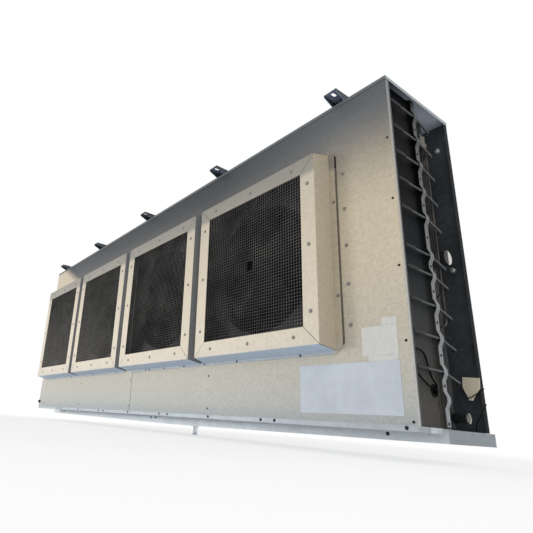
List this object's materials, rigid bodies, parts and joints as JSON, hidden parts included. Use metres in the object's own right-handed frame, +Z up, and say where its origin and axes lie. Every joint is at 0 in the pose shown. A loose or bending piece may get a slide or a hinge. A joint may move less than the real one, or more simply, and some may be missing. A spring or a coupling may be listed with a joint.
{
  "type": "refrigeration evaporator",
  "caption": "Long ceiling-hung unit cooler: sheet cabinet with guarded fans in flared boxes, finned coil behind, drain pan below and an uncovered end showing heaters and pipes.",
  "frame": {"origin": "centre of the top face of the middle hanger channel, where the unit bolts to a ceiling", "axes": "+X along the cabinet towards the uncovered end, +Y from the fan side to the coil side, +Z up"},
  "size_m": [3.2776, 0.551, 1.3276],
  "materials": {
    "galvanised": "satin",
    "pipe_alloy": "satin",
    "cream_sheet": "satin",
    "fin_aluminium": "satin",
    "copper": "dull",
    "brass": "satin",
    "heater_steel": "satin",
    "black_rubber": "matt",
    "black_wire": "satin",
    "fan_aluminium": "satin",
    "motor_paint": "satin",
    "label_vinyl": "satin",
    "tag_plastic": "satin",
    "zinc_screw": "satin"
  },
  "bodies": {
    "cabinet": {"top_panel": "galvanised", "front_panel_left": "galvanised", "front_panel_right": "galvanised", "left_end_panel": "galvanised", "rear_end_panel": "galvanised", "plenum_end_sheet": "galvanised", "plenum_floor": "galvanised", "drain_pan": "galvanised", "drain_outlet": "pipe_alloy", "fan_deck_left": "galvanised", "fan_deck_right": "galvanised", "fin_pack": "fin_aluminium", "tube_sheet_left": "galvanised", "tube_sheet_right": "galvanised", "return_bends": "copper", "suction_header": "copper", "distributor": "brass", "feeder_tubes": "copper", "heater_rail": "galvanised", "heater_strap": "galvanised", "heater_rods": "heater_steel", "heater_sleeves": "black_rubber", "lead_loom": "black_rubber", "heater_lead_upper": "black_rubber", "heater_lead_lower": "black_rubber", "grommet": "black_rubber", "hanger_channel_1": "galvanised", "hanger_channel_2": "galvanised", "hanger_channel_3": "galvanised", "hanger_channel_4": "galvanised", "hanger_channel_5": "galvanised", "fan_box_1": "cream_sheet", "fan_guard_1": "black_wire", "fan_motor_1": "motor_paint", "motor_rails_1": "motor_paint", "fan_box_2": "cream_sheet", "fan_guard_2": "black_wire", "fan_motor_2": "motor_paint", "motor_rails_2": "motor_paint", "fan_box_3": "cream_sheet", "fan_guard_3": "black_wire", "fan_motor_3": "motor_paint", "motor_rails_3": "motor_paint", "fan_box_4": "cream_sheet", "fan_guard_4": "black_wire", "fan_motor_4": "motor_paint", "motor_rails_4": "motor_paint"},
    "rotor_1": {"fan_rotor_1": "fan_aluminium"},
    "rotor_2": {"fan_rotor_2": "fan_aluminium"},
    "rotor_3": {"fan_rotor_3": "fan_aluminium"},
    "rotor_4": {"fan_rotor_4": "fan_aluminium"}
  },
  "joints": [
    {"name": "fan_spin_1", "type": "hinge", "parent": "cabinet", "child": "rotor_1", "pos_m": [-1.2115, -0.221, -0.618], "axis": [0, 1, 0], "continuous": true},
    {"name": "fan_spin_2", "type": "hinge", "parent": "cabinet", "child": "rotor_2", "pos_m": [-0.4675, -0.221, -0.618], "axis": [0, 1, 0], "continuous": true},
    {"name": "fan_spin_3", "type": "hinge", "parent": "cabinet", "child": "rotor_3", "pos_m": [0.2765, -0.221, -0.618], "axis": [0, 1, 0], "continuous": true},
    {"name": "fan_spin_4", "type": "hinge", "parent": "cabinet", "child": "rotor_4", "pos_m": [1.0205, -0.221, -0.618], "axis": [0, 1, 0], "continuous": true}
  ]
}
